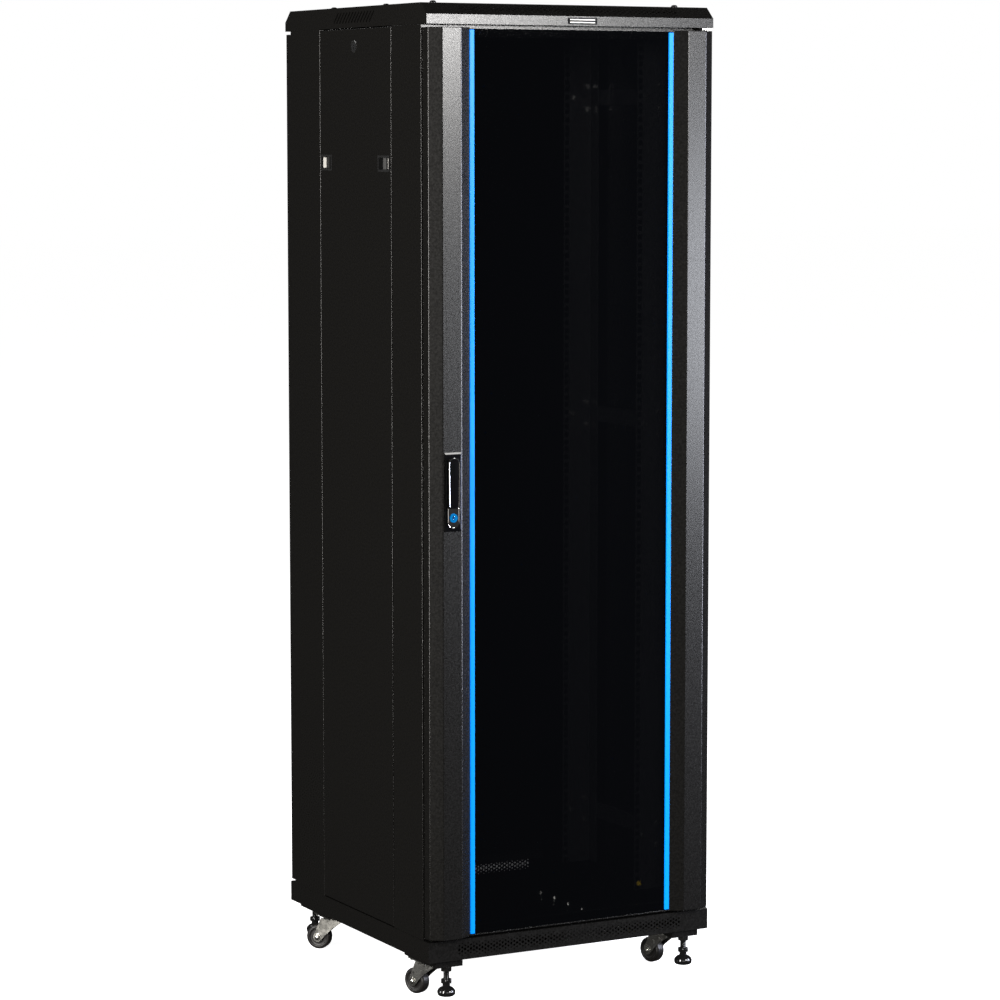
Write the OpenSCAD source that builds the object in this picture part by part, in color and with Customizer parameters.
// Network rack cabinet, 37 units high, 600 x 600 mm plan, on casters and levelling feet.
// +X is to the right seen from the front, -Y is the front, +Z is up, and the floor is z = 0.

/* [Cabinet] */
// Outside width
cab_w = 600; // [600:1:800]
// Depth of the base and cover
cab_d = 600; // [600:1:1000]
// Rack units between the base and the cover
rack_units = 37; // [24:1:47]
// Thickness of the folded sheet
sheet = 2; // [1.5:0.1:2.5]
// Thickness of the doors' and panels' sheet
skin = 1.5; // [1:0.1:2]

/* [Base] */
// Height of the base's underside above the floor
base_z = 84; // [80:1:95]
// Height of the base's walls
base_h = 38.5; // [34:0.5:60]
// Clear height left over above and below the rack units
clear_extra = 27.15; // [24:0.05:60]

/* [Cover] */
// Height of the cover's upright lip
cover_lip = 17.2; // [14:0.1:30]
// Height of the sloped shoulder
shoulder_h = 21; // [18:0.5:30]
// How far the shoulder leans in
shoulder_in = 23; // [18:0.5:40]
// Slots in each side of the cover
cover_slots = 13; // [5:1:13]

/* [Perforation] */
// Distance between columns of holes
perf_pitch = 6.06; // [6:0.02:8]
// Distance between the half-rows of holes
perf_step = 3.65; // [3.5:0.05:3.8]
// Columns of holes in the base
base_columns = 79; // [21:2:79]
// Columns of holes in the cover
cover_columns = 75; // [21:2:75]

/* [Frame] */
// Distance from the centre to the frame's front and rear faces
frame_y = 277; // [276:0.5:278]
// Front edge of the side opening
side_front = 158; // [150:1:165]
// Rear edge of the side opening
side_rear = 145.5; // [140:0.5:160]
// Half the width between the posts
post_in = 245; // [243:1:250]

/* [Rack rails] */
// Position of the front rails' mounting face
rail_front_y = 150; // [140:1:155]
// Position of the rear rails' mounting face
rail_rear_y = 135; // [120:1:140]
// Half the distance between the left and right hole rows
rail_row_x = 232.55; // [232.5:0.05:232.6]
// Side of the square holes
rail_hole = 9.5; // [9:0.1:9.6]

/* [Front door] */
// Gap between the base and the doors
door_gap_low = 4.5; // [4:0.1:6]
// Gap between the doors and the cover
door_gap_high = 5.9; // [5.5:0.1:9]
// How far the door's flats stand out from the cabinet's front
door_proud = 14.4; // [12:0.1:18]
// Half the width of the glazed opening
glass_in = 204; // [190:1:206]
// Width of the coloured trim strips
trim_w = 9.5; // [6:0.5:10]

/* [Handle] */
// Length of the handle's backplate
plate_h = 144; // [140:1:150]
// Width of the handle's backplate
plate_w = 35; // [32:1:36]
// Length of the lever
lever_l = 91.5; // [80:0.5:93]
// Width of the lever
lever_w = 24; // [20:1:24]

/* [Casters and feet] */
// Radius of the caster wheels
wheel_r = 24.5; // [22:0.5:26]
// Distance from the swivel to the axle
caster_trail = 29; // [26:0.5:30]
// Distance of the swivels from the centre plane
caster_x = 254.7; // [250:0.1:256]
// Distance of the front swivels from the centre
caster_front_y = 211; // [205:1:212]
// Distance of the rear swivels from the centre
caster_rear_y = 200; // [195:1:212]
// Height of the levelling feet above the floor
foot_z = 16.5; // [10:0.5:20]

/* [Hidden] */
$fn = 48;

LEFT = -1;
RIGHT = 1;
FRONT = -1;
REAR = 1;

// colours
COAT = "#1d1d1c";
STEEL = "#b9b6ae";
ZINC = "#a9a79f";
CHROME = "#d8dadc";
AZURE = "#0096ff";
RUBBER = "#26241f";

// plan
half_w = cab_w / 2;
half_d = cab_d / 2;
door_face_y = half_d + door_proud;
lever_thick = 5.4;
plate_thick = 2.5;
lever_gap = 0.5;
lock_stand_out = 3;
front_reach = door_face_y + plate_thick + lever_gap + lever_thick;
rear_reach = half_d + lock_stand_out;
plan_shift = (front_reach - rear_reach) / 2;

// heights
unit_h = 44.45;
base_top = base_z + base_h;
clear_h = rack_units * unit_h + clear_extra;
cover_z = base_top + clear_h;
shoulder_z = cover_z + cover_lip;
cover_top = shoulder_z + shoulder_h;
rail_z = base_top + clear_extra / 2;
rail_h = rack_units * unit_h;
door_z = base_top + door_gap_low;
door_h = cover_z - door_gap_high - door_z;
fix_heights = [base_top + 120.5, base_top + 922, cover_z - 125.5];

// frame
lip = 20;
post_return = 15;
beam_h = 13.5;
beam_d = 25;
depth_rail_x = 288;
depth_rail_w = 9;
depth_rail_h = 30;
rail_in = 225.5;
rail_leg = 30;

// doors
door_edge = half_w - 2;
door_back_y = frame_y + 2.3;
flat_out = 276;
flat_in = 237.5;
slope_in = glass_in + trim_w;
glass_front_y = half_d - 1.5;
glass_t = 4;
glass_back_y = glass_front_y - glass_t;
ledge_in = 200;
wall = 1.6;
pin_x = 291;
pin_y = 291;
pin_r = 3;
bush_r = 5;
pin_len = 20;
running = 0.05;

// handle
handle_x = -(flat_out + flat_in) / 2;
plate_z = base_top + 759.5;
pivot_z = plate_z + 124;
key_z = plate_z + 25;
plate_front_y = door_face_y + plate_thick;
lever_back_y = plate_front_y + lever_gap;
lever_top_z = pivot_z + lever_w / 2;
flip_z = pivot_z + 7;
flip_y = lever_back_y + lever_thick / 2;
key_r = 8;
spindle_r = 7;

// rear lock and side locks
rear_lock_x = -232;
rear_lock_z = base_top + 837.5;
lock_r = 9;
side_lock_y = -3;
side_lock_z = cover_z - 35.8;
proud = 0.6;

// side panels and latches
panel_front = side_front - 1.5;
panel_rear = side_rear - 1.5;
panel_z = base_top + 2;
panel_h = clear_h - 4;
latch_z = cover_z - 250.3;
latch_front_y = -126;
latch_rear_y = 117;
tub_l = 48;
tub_h = 30;
tub_d = 11;

// casters
bracket_z = base_z - 13;
fork_top_z = 64.3;
fork_plate = 2.3;
fork_tip = 42;
fork_disc_r = 20;
wheel_w = 19;
leg_gap = 11.2;
leg_t = 1.8;
axle_r = 4;
king_r = 4;

// feet
foot_x = 255.5;
foot_y = 284;
stud_r = 5.75;
foot_r = 17;

module place() translate([0, plan_shift, 0]) children();
module block(low, high) translate(low) cube(high - low);
module flip_x(side) mirror([side < 0 ? 1 : 0, 0, 0]) children();
module flip_y(end) mirror([0, end > 0 ? 1 : 0, 0]) children();

// extrusion of a Y-Z outline along X, between x0 and x1
module along_x(x0, x1) translate([x0, 0, 0]) rotate([90, 0, 90]) linear_extrude(x1 - x0) children();
// extrusion of an X-Z outline along Y, between y0 and y1
module along_y(y0, y1) translate([0, y1, 0]) rotate([90, 0, 0]) linear_extrude(y1 - y0) children();
// extrusion of an X-Y outline along Z, between z0 and z1
module along_z(z0, z1) translate([0, 0, z0]) linear_extrude(z1 - z0) children();

module slot(length, width) {
  square([length, width], center = true);
  for (s = [-1, 1]) translate([s * length / 2, 0]) circle(d = width);
}

// staggered rows of holes that get smaller towards the edges of the band
perf_radii = [2.6, 2.2, 1.7, 1.1];
module perforation(columns) {
  for (i = [0:columns - 1], j = [-3:3])
    if ((i + j + 4) % 2 == 0)
      translate([(i - (columns - 1) / 2) * perf_pitch, j * perf_step])
        circle(r = perf_radii[abs(j)], $fn = 24);
}

// ---- base ----

module base_tray() color(COAT) place() difference() {
  union() {
    block([-half_w, skin - half_d, base_z], [half_w, half_d - skin, base_z + sheet]);
    for (side = [LEFT, RIGHT]) flip_x(side) {
      block([half_w - sheet, skin - half_d, base_z], [half_w, half_d - skin, base_top]);
      block([half_w - lip, skin - half_d, base_top - sheet], [half_w, half_d - skin, base_top]);
    }
  }
  for (side = [LEFT, RIGHT], end = [FRONT, REAR])
    translate([side * foot_x, end * foot_y, base_z - 1]) cylinder(r = stud_r + 0.8, h = sheet + 2);
}

module base_grille(end) color(COAT) place() flip_y(end) {
  along_y(-half_d, skin - half_d) difference() {
    translate([-half_w, base_z]) square([cab_w, base_h]);
    translate([0, base_z + base_h / 2]) perforation(base_columns);
  }
  block([lip - half_w, skin - half_d, base_top - skin], [half_w - lip, lip - half_d, base_top]);
}
module base_front_grille() base_grille(FRONT);
module base_rear_grille() base_grille(REAR);

bracket_x = [226, 282];
bracket_y = [-293, -165];
nut_h = 8;
nut_flats = 19;
module corner_bracket() {
  difference() {
    union() {
      block([bracket_x[0], bracket_y[0], bracket_z], [bracket_x[1], bracket_y[1], base_z]);
      translate([foot_x, -foot_y, bracket_z - nut_h]) nut(nut_h);
    }
    block([bracket_x[0] + 3, bracket_y[0] + 3, bracket_z + 3],
          [bracket_x[1] - 3, bracket_y[1] - 3, base_z + 1]);
    translate([foot_x, -foot_y, bracket_z - nut_h - 1]) cylinder(r = stud_r + running, h = nut_h + 5);
  }
}
module nut(height) cylinder(d = nut_flats / cos(30), h = height, $fn = 6);
module corner_brackets() color(COAT) place()
  for (side = [LEFT, RIGHT], end = [FRONT, REAR]) flip_x(side) flip_y(end) corner_bracket();

function swivel_y(end) = end < 0 ? -caster_front_y : caster_rear_y;
race_r = 20;
plate_t = 2.5;
module caster_plate() {
  block([-28, -30, bracket_z - plate_t], [28, 30, bracket_z]);
  translate([0, 0, fork_top_z + 0.3]) cylinder(r = race_r, h = bracket_z - plate_t - fork_top_z - 0.3);
  king_low = fork_top_z - fork_plate - 0.3;
  translate([0, 0, king_low]) cylinder(r = king_r, h = bracket_z - king_low - 1);
  translate([0, 0, king_low - 3]) cylinder(r = king_r + 3, h = 3);
  for (x = [-22, 22], y = [-24, 24])
    translate([x, y, bracket_z - plate_t - 3]) cylinder(r = 4, h = 3.5, $fn = 6);
}
module caster_plates() color(ZINC) place()
  for (side = [LEFT, RIGHT], end = [FRONT, REAR])
    translate([side * caster_x, swivel_y(end), 0]) caster_plate();

// ---- frame ----

module post_outline(side_edge) polygon([
  [half_w, -frame_y],
  [half_w, -side_edge],
  [half_w - post_return, -side_edge],
  [half_w - post_return, -side_edge - sheet],
  [half_w - sheet, -side_edge - sheet],
  [half_w - sheet, sheet - frame_y],
  [post_in + sheet, sheet - frame_y],
  [post_in + sheet, lip - frame_y],
  [post_in, lip - frame_y],
  [post_in, -frame_y]
]);
module post(side, end) color(COAT) place() flip_x(side) flip_y(end)
  along_z(base_top, cover_z) post_outline(end < 0 ? side_front : side_rear);

// the latch tongue of the door passes through this notch
notch = [23, 42];
module post_front_left() difference() {
  post(LEFT, FRONT);
  color(COAT) place()
    block([-post_in - notch[0], -frame_y - 1, pivot_z - notch[1] / 2],
          [1 - post_in, lip - frame_y + 1, pivot_z + notch[1] / 2]);
}
module post_front_right() post(RIGHT, FRONT);
module post_rear_left() post(LEFT, REAR);
module post_rear_right() post(RIGHT, REAR);

module beam_outline() difference() {
  translate([-frame_y, 0]) square([beam_d, beam_h]);
  translate([sheet - frame_y, -1]) square([beam_d - 2 * sheet, beam_h - sheet + 1]);
}
module beams_bottom() color(COAT) place()
  for (end = [FRONT, REAR]) flip_y(end)
    translate([0, 0, base_top]) along_x(-post_in, post_in) beam_outline();
module beams_top() color(COAT) place()
  for (end = [FRONT, REAR]) flip_y(end)
    translate([0, 0, cover_z]) mirror([0, 0, 1]) along_x(-post_in, post_in) beam_outline();

module depth_rail_outline() difference() {
  translate([depth_rail_x, -depth_rail_h / 2]) square([depth_rail_w, depth_rail_h]);
  translate([depth_rail_x + sheet, sheet - depth_rail_h / 2])
    square([depth_rail_w, depth_rail_h - 2 * sheet]);
}
module depth_rails() color(COAT) place()
  for (side = [LEFT, RIGHT], z = fix_heights) flip_x(side)
    translate([0, 0, z]) along_y(-side_front, side_rear) depth_rail_outline();

// ---- rack rails ----

unit_holes = [6.35, 22.225, 38.1];
bolt_near = 245;
bolt_far = 276;
bolt_rise = 22;
rail_bolt_r = 3.2;
function fix_points(z) = [[bolt_near, z], [bolt_far, z - bolt_rise], [bolt_far, z + bolt_rise]];
module rack_rail(side, end, face_y) color(COAT) place() flip_x(side) flip_y(end) {
  along_y(-face_y, sheet - face_y) difference() {
    translate([rail_in, rail_z]) square([depth_rail_x - rail_in, rail_h]);
    for (u = [0:rack_units - 1], h = unit_holes)
      translate([rail_row_x, rail_z + u * unit_h + h]) square(rail_hole, center = true);
    for (z = fix_heights, p = fix_points(z)) translate(p) circle(r = rail_bolt_r + running);
  }
  block([depth_rail_x - sheet, sheet - face_y, rail_z], [depth_rail_x, rail_leg - face_y, rail_z + rail_h]);
}
module rack_rail_front_left() rack_rail(LEFT, FRONT, rail_front_y);
module rack_rail_front_right() rack_rail(RIGHT, FRONT, rail_front_y);
module rack_rail_rear_left() rack_rail(LEFT, REAR, rail_rear_y);
module rack_rail_rear_right() rack_rail(RIGHT, REAR, rail_rear_y);

floor_bolt_x = 163;
floor_bolt_pitch = 55.7;
module rail_bolt() rotate([90, 0, 0]) {
  cylinder(r1 = 5.5, r2 = 4.5, h = 3.5);
  translate([0, 0, -sheet - 0.5]) cylinder(r = rail_bolt_r, h = sheet + 1);
  translate([0, 0, -sheet - 4]) cylinder(r = 5, h = 4, $fn = 6);
}
module rail_bolts() color(STEEL) place() {
  for (side = [LEFT, RIGHT], end = [FRONT, REAR], z = fix_heights, p = fix_points(z))
    flip_x(side) flip_y(end)
      translate([p[0], end < 0 ? -rail_front_y : -rail_rear_y, p[1]]) rail_bolt();
  for (side = [LEFT, RIGHT], k = [-1:2])
    translate([side * floor_bolt_x, k * floor_bolt_pitch, base_z + sheet])
      cylinder(r1 = 5.5, r2 = 4.5, h = 3.5);
}

// ---- cover ----

module cover_outline(inset) {
  edge = half_d - inset;
  low = cover_z - (inset > 0 ? 1 : 0);
  shoulder = shoulder_z - inset * 0.4;
  flat_edge = half_d - shoulder_in - inset * 0.4;
  polygon([
    [-edge, low], [-edge, shoulder], [-flat_edge, cover_top - inset],
    [flat_edge, cover_top - inset], [edge, shoulder], [edge, low]
  ]);
}
slope_l = norm([shoulder_in, shoulder_h]);
slope_deg = atan2(shoulder_h, shoulder_in);
// frame whose X-Y plane is the front shoulder, with Y up the slope
module on_shoulder() translate([0, -half_d, shoulder_z]) rotate([slope_deg, 0, 0]) children();

fan_x = 90;
fan_y = -70;
fan_pitch = 105;
fan_hole_r = 2.15;
module fan_vent() {
  difference() {
    for (r = [13, 27, 41]) difference() {
      circle(r = r + 9);
      circle(r = r);
    }
    for (a = [0, 60, 120]) rotate(a) square([110, 7], center = true);
  }
  for (x = [-1, 1], y = [-1, 1]) translate([x, y] * fan_pitch / 2) circle(r = fan_hole_r);
}
slot_low = 9;
slot_rise = 20;
slot_lean = 21;
slot_first_y = 83;
slot_pitch = 12.55;
entry = [240, 70];
entry_y = 185;
module top_cover() color(COAT) place() difference() {
  along_x(-half_w, half_w) cover_outline(0);
  along_x(sheet - half_w, half_w - sheet) cover_outline(sheet);
  for (end = [FRONT, REAR]) flip_y(end) on_shoulder()
    block([sheet - half_w, 0, -4], [half_w - sheet, slope_l, 1]);
  along_x(-half_w - 1, half_w + 1)
    for (i = [0:cover_slots - 1])
      translate([slot_first_y - i * slot_pitch - slot_lean / 2, cover_z + slot_low + slot_rise / 2])
        rotate(atan2(slot_rise, -slot_lean)) slot(norm([slot_rise, slot_lean]) - 4, 4);
  for (side = [LEFT, RIGHT]) translate([side * fan_x, fan_y, cover_top - sheet - 1])
    linear_extrude(sheet + 2) fan_vent();
  translate([-entry[0] / 2, entry_y - entry[1] / 2, cover_top - sheet - 1])
    cube([entry[0], entry[1], sheet + 2]);
}

module cover_grille(end) color(COAT) place() flip_y(end) on_shoulder()
  translate([0, 0, -skin]) linear_extrude(skin) difference() {
    translate([sheet - half_w, 0]) square([cab_w - 2 * sheet, slope_l]);
    translate([0, slope_l / 2]) perforation(cover_columns);
  }
module cover_front_grille() cover_grille(FRONT);
module cover_rear_grille() cover_grille(REAR);

cover_bolt_x = 254;
cover_bolt_ys = [-235, -46, 177];
module cover_bolts() color(COAT) place()
  for (side = [LEFT, RIGHT], y = cover_bolt_ys) translate([side * cover_bolt_x, y, cover_top]) {
    cylinder(r = 7.5, h = 1.2);
    rotate_extrude() polygon([[0, 0], [6, 0], [6, 2.4], [5.2, 4.2], [3.4, 5.3], [0, 5.6]]);
  }

module cable_entry_plate() color(COAT) place() translate([0, entry_y, cover_top]) {
  block([-entry[0] / 2 - 12, -entry[1] / 2 - 12, 0], [entry[0] / 2 + 12, entry[1] / 2 + 12, skin]);
  for (x = [-1, 1], y = [-1, 1])
    translate([x * (entry[0] / 2 + 6), y * (entry[1] / 2 + 6), skin / 2]) cylinder(r1 = 4, r2 = 3, h = 2.5);
}

// hinge pins on small brackets, two for each door
hinge_plate_t = 3;
module hinge_pin_low() {
  block([276, -half_d, base_top], [half_w - 2, -frame_y, base_top + hinge_plate_t]);
  translate([pin_x, -pin_y, base_top + 1]) cylinder(r = pin_r, h = door_gap_low + pin_len - 1);
}
module hinge_pin_high() {
  top = cover_z - 1;
  block([276, -half_d, top - hinge_plate_t], [half_w - 2, -frame_y, top]);
  translate([pin_x, -pin_y, door_z + door_h - pin_len])
    cylinder(r = pin_r, h = top - door_z - door_h + pin_len - 1);
}
module hinge_pins() color(ZINC) place() for (end = [FRONT, REAR]) flip_y(end) {
  hinge_pin_low();
  hinge_pin_high();
}

// ---- front door ----

module profile_cavity() polygon([
  [door_edge - wall, wall - door_back_y],
  [door_edge - wall, 0.9 - half_d],
  [flat_out - 0.4, wall - door_face_y],
  [flat_in + 0.5, wall - door_face_y],
  [slope_in + 3.5, -half_d - 0.2],
  [slope_in + 3.5, 0.4 - glass_back_y],
  [flat_in + 2.1, 0.4 - glass_back_y],
  [flat_in + 2.1, wall - door_back_y]
]);
module profile_outline() difference() {
  polygon([
    [door_edge, -door_back_y],
    [door_edge, -half_d],
    [flat_out, -door_face_y],
    [flat_in, -door_face_y],
    [slope_in, -half_d],
    [slope_in, -glass_back_y],
    [ledge_in, -glass_back_y],
    [ledge_in, 2 - glass_back_y],
    [flat_in + 0.5, 2 - glass_back_y],
    [flat_in + 0.5, -door_back_y]
  ]);
  profile_cavity();
}
module door_profile_right() color(COAT) place() along_z(door_z, door_z + door_h) profile_outline();
module door_profile_left() color(COAT) place() difference() {
  flip_x(LEFT) along_z(door_z, door_z + door_h) profile_outline();
  translate([handle_x, -door_back_y + 1, pivot_z]) rotate([90, 0, 0]) cylinder(r = spindle_r + 0.5, h = 60);
  translate([handle_x, -door_face_y + 5, key_z]) rotate([90, 0, 0]) cylinder(r = key_r + 0.5, h = 10);
}

rail_band = 17;
rail_face = 2.2;
module door_rail() {
  block([-ledge_in, -glass_back_y, door_z], [ledge_in, wall - glass_back_y, door_z + rail_band]);
  block([-ledge_in, -glass_back_y, door_z], [ledge_in, -door_back_y, door_z + wall]);
  block([-slope_in, -half_d, door_z], [slope_in, -glass_back_y, door_z + wall]);
  block([-slope_in, -half_d, door_z], [slope_in, -glass_front_y, door_z + rail_face]);
}
module door_rail_bottom() color(COAT) place() door_rail();
module door_rail_top() color(COAT) place()
  translate([0, 0, 2 * door_z + door_h]) mirror([0, 0, 1]) door_rail();

module door_glass() color("#2b2f33", 0.45) place()
  block([0.3 - slope_in, -glass_front_y, door_z + rail_face],
        [slope_in - 0.3, -glass_back_y, door_z + door_h - rail_face]);

trim_end = 3.7;
module door_trims() color(AZURE) place() for (side = [LEFT, RIGHT]) flip_x(side)
  along_z(door_z + trim_end, door_z + door_h - trim_end) polygon([
    [glass_in, -glass_front_y],
    [glass_in, -glass_front_y - 1.6],
    [glass_in + 1.2, -glass_front_y - 2.4],
    [slope_in - 0.4, -glass_front_y - 2.4],
    [slope_in - 0.1, -glass_front_y - 2.1],
    [slope_in - 0.1, -glass_front_y]
  ]);

module end_cap(side) flip_x(side) difference() {
  union() {
    along_z(door_z, door_z + 3) intersection() {
      profile_cavity();
      translate([0, -door_face_y]) square([half_w, door_face_y - door_back_y]);
    }
    if (side > 0) translate([pin_x, -pin_y, door_z]) cylinder(r = bush_r, h = pin_len);
  }
  if (side > 0) translate([pin_x, -pin_y, door_z - 1]) cylinder(r = pin_r + running, h = pin_len + 2);
}
module door_end_caps() color("#33332f") place() for (side = [LEFT, RIGHT]) {
  end_cap(side);
  translate([0, 0, 2 * door_z + door_h]) mirror([0, 0, 1]) end_cap(side);
}

// ---- swing handle ----

bevel = 1.5;
bevel_rise = 3.2;
module handle_plate() color(COAT) place() difference() {
  intersection() {
    along_z(plate_z, plate_z + plate_h) polygon([
      [handle_x - plate_w / 2, -door_face_y],
      [handle_x - plate_w / 2, bevel - plate_front_y],
      [handle_x - plate_w / 2 + bevel, -plate_front_y],
      [handle_x + plate_w / 2 - bevel, -plate_front_y],
      [handle_x + plate_w / 2, bevel - plate_front_y],
      [handle_x + plate_w / 2, -door_face_y]
    ]);
    along_x(handle_x - plate_w, handle_x + plate_w) polygon([
      [-door_face_y, plate_z],
      [bevel - plate_front_y, plate_z],
      [-plate_front_y, plate_z + bevel_rise],
      [-plate_front_y, plate_z + plate_h - bevel_rise],
      [bevel - plate_front_y, plate_z + plate_h],
      [-door_face_y, plate_z + plate_h]
    ]);
  }
  translate([handle_x, 1 - door_face_y, pivot_z]) rotate([90, 0, 0])
    cylinder(r = spindle_r + running, h = plate_thick + 2);
  translate([handle_x, 1 - door_face_y, key_z]) rotate([90, 0, 0])
    cylinder(r = key_r + running, h = plate_thick + 2);
}

badge_r = 11.5;
badge_t = 1.5;
module lock_escutcheon() color(CHROME) place()
  along_y(-plate_front_y - badge_t, -plate_front_y) translate([handle_x, key_z]) difference() {
    union() {
      translate([0, -7.5]) circle(r = badge_r);
      translate([-badge_r, -7.5]) square([2 * badge_r, 25.5]);
    }
    circle(r = key_r + running);
  }

key_proud = 2.2;
module key_slot(width, height, depth) cube([width, depth, height], center = true);
module key_cylinder() color(AZURE) place() translate([handle_x, 0, key_z]) difference() {
  translate([0, -half_d, 0]) rotate([90, 0, 0]) cylinder(r = key_r, h = plate_front_y + key_proud - half_d);
  translate([0, -plate_front_y - key_proud, 0]) key_slot(1.8, 8, 6);
}

lug_w = 8;
lug_r = 1.6;
slot_wall = 0.9;
flip_pin_r = 1.1;
tongue_w = 16;
module handle_spindle() color(ZINC) place() translate([handle_x, 0, 0]) {
  tongue_y = -frame_y + 5;
  translate([0, tongue_y, pivot_z]) rotate([90, 0, 0])
    cylinder(r = spindle_r, h = plate_front_y + 0.3 + tongue_y);
  translate([-lug_w / 2, -flip_y, flip_z]) rotate([0, 90, 0]) cylinder(r = lug_r, h = lug_w);
  block([-lug_w / 2, -flip_y, pivot_z - 3], [lug_w / 2, -plate_front_y - 0.4, flip_z + lug_r]);
  block([-lug_w / 2, -flip_y, pivot_z - 3], [lug_w / 2, 1 - plate_front_y, pivot_z + 5.5]);
  translate([-9, -flip_y, flip_z]) rotate([0, 90, 0]) cylinder(r = flip_pin_r, h = 18);
  block([-tongue_w / 2, tongue_y, pivot_z - 8], [tongue_w / 2, tongue_y + 3, pivot_z + 16]);
}

module handle_lever() color(COAT) place() difference() {
  intersection() {
    along_y(-lever_back_y - lever_thick, -lever_back_y) {
      translate([handle_x, pivot_z]) circle(d = lever_w);
      polygon([
        [handle_x - lever_w / 2, pivot_z],
        [handle_x - lever_w / 2 + 1, lever_top_z - lever_l],
        [handle_x + lever_w / 2 - 1, lever_top_z - lever_l],
        [handle_x + lever_w / 2, pivot_z]
      ]);
    }
    along_x(handle_x - lever_w, handle_x + lever_w) polygon([
      [-lever_back_y, lever_top_z - lever_l],
      [-lever_back_y, flip_z + 1.2],
      [-flip_y - 0.3, lever_top_z],
      [-lever_back_y - lever_thick + 2, lever_top_z],
      [-lever_back_y - lever_thick, lever_top_z - 3],
      [-lever_back_y - lever_thick, lever_top_z - lever_l + 2],
      [-lever_back_y - lever_thick + 2, lever_top_z - lever_l]
    ]);
  }
  block([handle_x - lug_w / 2 - 0.4, slot_wall - lever_back_y - lever_thick, pivot_z - 5],
        [handle_x + lug_w / 2 + 0.4, 1 - lever_back_y, lever_top_z + 1]);
  translate([handle_x - 9.5, -flip_y, flip_z]) rotate([0, 90, 0]) cylinder(r = flip_pin_r + running, h = 19);
}

// ---- rear door ----

module rear_door_panel() color(COAT) place() difference() {
  block([-door_edge, door_back_y, door_z], [door_edge, half_d, door_z + door_h]);
  block([skin - door_edge, door_back_y - 1, door_z + skin],
        [door_edge - skin, half_d - skin, door_z + door_h - skin]);
  translate([pin_x, pin_y, door_z - 1]) cylinder(r = pin_r + running, h = door_h + 2);
  translate([rear_lock_x, half_d + 1, rear_lock_z]) rotate([90, 0, 0])
    cylinder(r = lock_r + running, h = skin + 2);
}

rib_d = 12;
rib_w = 30;
module rear_door_ribs() color(COAT) place() for (side = [LEFT, RIGHT])
  translate([side * 100, half_d - skin, 0]) along_z(door_z + 30, door_z + door_h - 30) difference() {
    translate([-rib_w / 2, -rib_d]) square([rib_w, rib_d]);
    translate([skin - rib_w / 2, skin - rib_d]) square([rib_w - 2 * skin, rib_d]);
  }

rear_tongue_y = 250;
module rear_lock() color(CHROME) place() translate([rear_lock_x, 0, rear_lock_z]) difference() {
  union() {
    translate([0, rear_reach, 0]) rotate([90, 0, 0]) cylinder(r = lock_r, h = rear_reach - 285);
    translate([0, 286, 0]) rotate([90, 0, 0]) cylinder(r = 5, h = 286 - rear_tongue_y);
    block([-7, rear_tongue_y, -35], [7, rear_tongue_y + 3, 7]);
  }
  translate([0, rear_reach, 0]) key_slot(2, 9, 6);
}

// ---- side panels ----

function latch_y(end) = end < 0 ? latch_front_y : latch_rear_y;
// frame at a latch, with +X outwards, seen on the right-hand side
module at_latch(side, end) place() flip_x(side) translate([half_w, latch_y(end), latch_z]) children();
// the nose points towards the post
module towards_post(end) mirror([0, end > 0 ? 1 : 0, 0]) children();

module side_panel(side) color(COAT) place() flip_x(side) difference() {
  union() {
    block([half_w - skin, -panel_front, panel_z], [half_w, panel_rear, panel_z + panel_h]);
    for (z = [panel_z, panel_z + panel_h - skin])
      block([half_w - 10, -panel_front, z], [half_w, panel_rear, z + skin]);
    for (y = [-panel_front, panel_rear - skin])
      block([half_w - 10, y, panel_z], [half_w, y + skin, panel_z + panel_h]);
  }
  for (y = [-panel_front, panel_rear]) translate([half_w - 6, y, 0]) {
    translate([0, 0, latch_z]) cube([9, 4 * skin, nose + 1], center = true);
    for (z = fix_heights) translate([0, 0, z]) cube([9, 4 * skin, depth_rail_h + 4], center = true);
  }
  for (end = [FRONT, REAR]) translate([half_w - 5, latch_y(end), latch_z])
    cube([20, tub_l - 2, tub_h - 2], center = true);
  translate([half_w - 5, side_lock_y, side_lock_z]) rotate([0, 90, 0])
    cylinder(r = lock_r + running, h = 10);
}
module side_panel_left() side_panel(LEFT);
module side_panel_right() side_panel(RIGHT);

thumb_l = 26;
thumb_h = 21;
nose = 6;
nose_out = 3.5;
module latch_tub(side, end) at_latch(side, end) towards_post(end) difference() {
  union() {
    block([1 - tub_d, 1 - tub_l / 2, 1 - tub_h / 2], [proud, tub_l / 2 - 1, tub_h / 2 - 1]);
    block([0, -tub_l / 2, -tub_h / 2], [proud, tub_l / 2, tub_h / 2]);
  }
  block([2.5 - tub_d, 4 - tub_l / 2, 4 - tub_h / 2], [proud + 1, tub_l / 2 - 4, tub_h / 2 - 4]);
  block([2.5 - tub_d, -tub_l, -nose / 2 - 0.5], [3.5 - tub_d + nose, 0, nose / 2 + 0.5]);
}
module latch_tubs_left() color("#141414") for (end = [FRONT, REAR]) latch_tub(LEFT, end);
module latch_tubs_right() color("#141414") for (end = [FRONT, REAR]) latch_tub(RIGHT, end);

module latch(side, end) color("#141414") at_latch(side, end) towards_post(end) difference() {
  union() {
    block([3 - tub_d, 4.5 - tub_l / 2, -thumb_h / 2], [-1, 4.5 - tub_l / 2 + thumb_l, thumb_h / 2]);
    block([3 - tub_d, -tub_l / 2 - nose_out, -nose / 2], [3 - tub_d + nose, 0, nose / 2]);
  }
  translate([4, 4.5 - tub_l / 2 + thumb_l / 2, 0]) rotate([90, 0, 0])
    cylinder(r = 10, h = thumb_l - 6, center = true);
}
module latch_front_left() latch(LEFT, FRONT);
module latch_rear_left() latch(LEFT, REAR);
module latch_front_right() latch(RIGHT, FRONT);
module latch_rear_right() latch(RIGHT, REAR);

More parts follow.
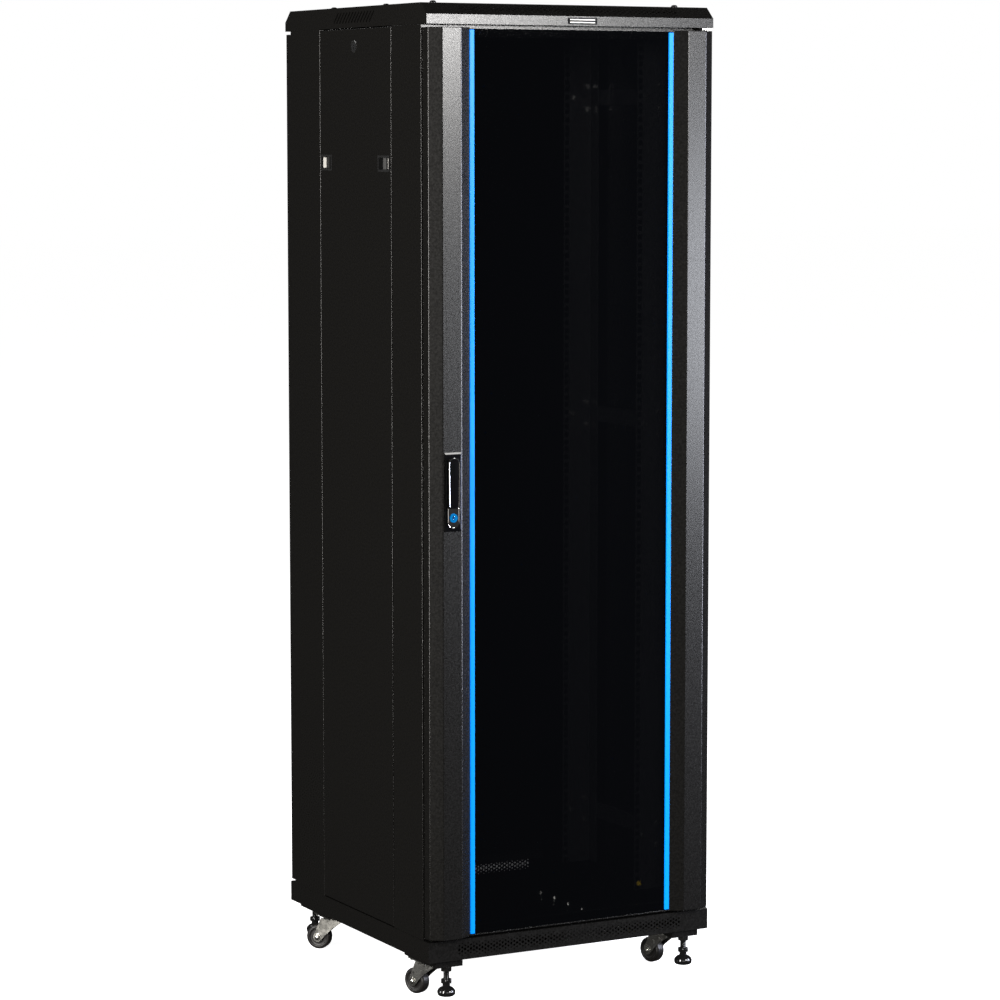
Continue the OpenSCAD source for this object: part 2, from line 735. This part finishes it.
module side_lock(side) color(CHROME) place() flip_x(side)
  translate([half_w, side_lock_y, side_lock_z]) difference() {
    union() {
      translate([-16, 0, 0]) rotate([0, 90, 0]) cylinder(r = lock_r, h = 16 + proud);
      block([-19, -7, -32], [-16, 7, 7]);
    }
    translate([proud, 0, 0]) cube([6, 2, 9], center = true);
  }
module side_lock_left() side_lock(LEFT);
module side_lock_right() side_lock(RIGHT);

// ---- casters ----

// directions in which the casters trail, in degrees from +X
trail_front_left = 111;
trail_front_right = 106;
trail_rear_left = 135;
trail_rear_right = 62;
module at_caster(side, end, angle) place()
  translate([side * caster_x, swivel_y(end), 0]) rotate([0, 0, angle]) children();

axle_boss = 9;
// the leg's lower edge curves in from its foremost point to the axle
leg_tip = [-33, fork_top_z - 1];
leg_waist = [3, 44];
leg_heel = [caster_trail - 7, wheel_r - 5.6];
leg_edge = [for (t = [0:0.125:1])
  (1 - t) * (1 - t) * leg_heel + 2 * t * (1 - t) * leg_waist + t * t * leg_tip];
module leg_outline() {
  polygon(concat(
    [[22, fork_top_z - 1], [caster_trail + 8.5, wheel_r + 3], [caster_trail, wheel_r]], leg_edge
  ));
  translate([caster_trail, wheel_r]) circle(r = axle_boss);
}
module caster_fork(side, end, angle) color(ZINC) at_caster(side, end, angle) {
  tangent_deg = acos(fork_disc_r / fork_tip);
  difference() {
    union() {
      along_z(fork_top_z - fork_plate, fork_top_z) {
        circle(r = fork_disc_r);
        polygon([[-fork_tip, 0],
          [-cos(tangent_deg), sin(tangent_deg)] * fork_disc_r,
          [-cos(tangent_deg), -sin(tangent_deg)] * fork_disc_r]);
      }
      for (y = [-leg_gap - leg_t, leg_gap]) along_y(y, y + leg_t) intersection() {
        leg_outline();
        translate([-22, 0]) square([80, fork_top_z]);
      }
    }
    translate([0, 0, fork_top_z - fork_plate - 1]) cylinder(r = king_r + running, h = fork_plate + 2);
  }
  translate([caster_trail, 0, wheel_r]) rotate([90, 0, 0])
    cylinder(r = axle_r, h = 2 * (leg_gap + leg_t + 2), center = true);
}
module caster_fork_front_left() caster_fork(LEFT, FRONT, trail_front_left);
module caster_fork_front_right() caster_fork(RIGHT, FRONT, trail_front_right);
module caster_fork_rear_left() caster_fork(LEFT, REAR, trail_rear_left);
module caster_fork_rear_right() caster_fork(RIGHT, REAR, trail_rear_right);

module wheel_section() polygon([
  [axle_r + running, -wheel_w / 2 - 1], [9, -wheel_w / 2 - 1], [9.5, -wheel_w / 2 + 2],
  [17, -wheel_w / 2 + 2], [18, -wheel_w / 2], [wheel_r - 2.5, -wheel_w / 2], [wheel_r, -wheel_w / 2 + 3],
  [wheel_r, wheel_w / 2 - 3], [wheel_r - 2.5, wheel_w / 2], [18, wheel_w / 2], [17, wheel_w / 2 - 2],
  [9.5, wheel_w / 2 - 2], [9, wheel_w / 2 + 1], [axle_r + running, wheel_w / 2 + 1]
]);
module caster_wheel(side, end, angle) color(RUBBER) at_caster(side, end, angle)
  translate([caster_trail, 0, wheel_r]) rotate([90, 0, 0]) rotate_extrude() wheel_section();
module caster_wheel_front_left() caster_wheel(LEFT, FRONT, trail_front_left);
module caster_wheel_front_right() caster_wheel(RIGHT, FRONT, trail_front_right);
module caster_wheel_rear_left() caster_wheel(LEFT, REAR, trail_rear_left);
module caster_wheel_rear_right() caster_wheel(RIGHT, REAR, trail_rear_right);

// ---- levelling feet ----

dome_h = 17;
neck_h = 7;
lock_nut_h = 7;
stud_top = base_top - 12.5;
module foot(side, end) color("#101010") place() translate([side * foot_x, end * foot_y, 0]) {
  translate([0, 0, foot_z]) rotate_extrude() polygon([
    [0, 0], [foot_r - 3, 0], [foot_r - 1.2, 1.8], [foot_r, 6.5], [foot_r - 0.8, 10], [foot_r - 3.2, 13.4],
    [foot_r - 6.4, 15.8], [foot_r - 10.2, dome_h], [foot_r - 10.2, dome_h + neck_h], [0, dome_h + neck_h]
  ]);
  translate([0, 0, foot_z + dome_h + neck_h - 1]) nut(lock_nut_h + 1);
  translate([0, 0, foot_z + dome_h]) cylinder(r = stud_r, h = stud_top - foot_z - dome_h);
}
module foot_front_left() foot(LEFT, FRONT);
module foot_front_right() foot(RIGHT, FRONT);
module foot_rear_left() foot(LEFT, REAR);
module foot_rear_right() foot(RIGHT, REAR);

base_tray();
base_front_grille();
base_rear_grille();
corner_brackets();
caster_plates();
post_front_left();
post_front_right();
post_rear_left();
post_rear_right();
beams_bottom();
beams_top();
depth_rails();
rack_rail_front_left();
rack_rail_front_right();
rack_rail_rear_left();
rack_rail_rear_right();
rail_bolts();
top_cover();
cover_front_grille();
cover_rear_grille();
cover_bolts();
cable_entry_plate();
hinge_pins();
door_profile_left();
door_profile_right();
door_rail_top();
door_rail_bottom();
door_glass();
door_trims();
door_end_caps();
handle_plate();
lock_escutcheon();
handle_spindle();
handle_lever();
key_cylinder();
rear_door_panel();
rear_door_ribs();
rear_lock();
side_panel_left();
side_panel_right();
latch_tubs_left();
latch_tubs_right();
latch_front_left();
latch_rear_left();
latch_front_right();
latch_rear_right();
side_lock_left();
side_lock_right();
caster_fork_front_left();
caster_fork_front_right();
caster_fork_rear_left();
caster_fork_rear_right();
caster_wheel_front_left();
caster_wheel_front_right();
caster_wheel_rear_left();
caster_wheel_rear_right();
foot_front_left();
foot_front_right();
foot_rear_left();
foot_rear_right();
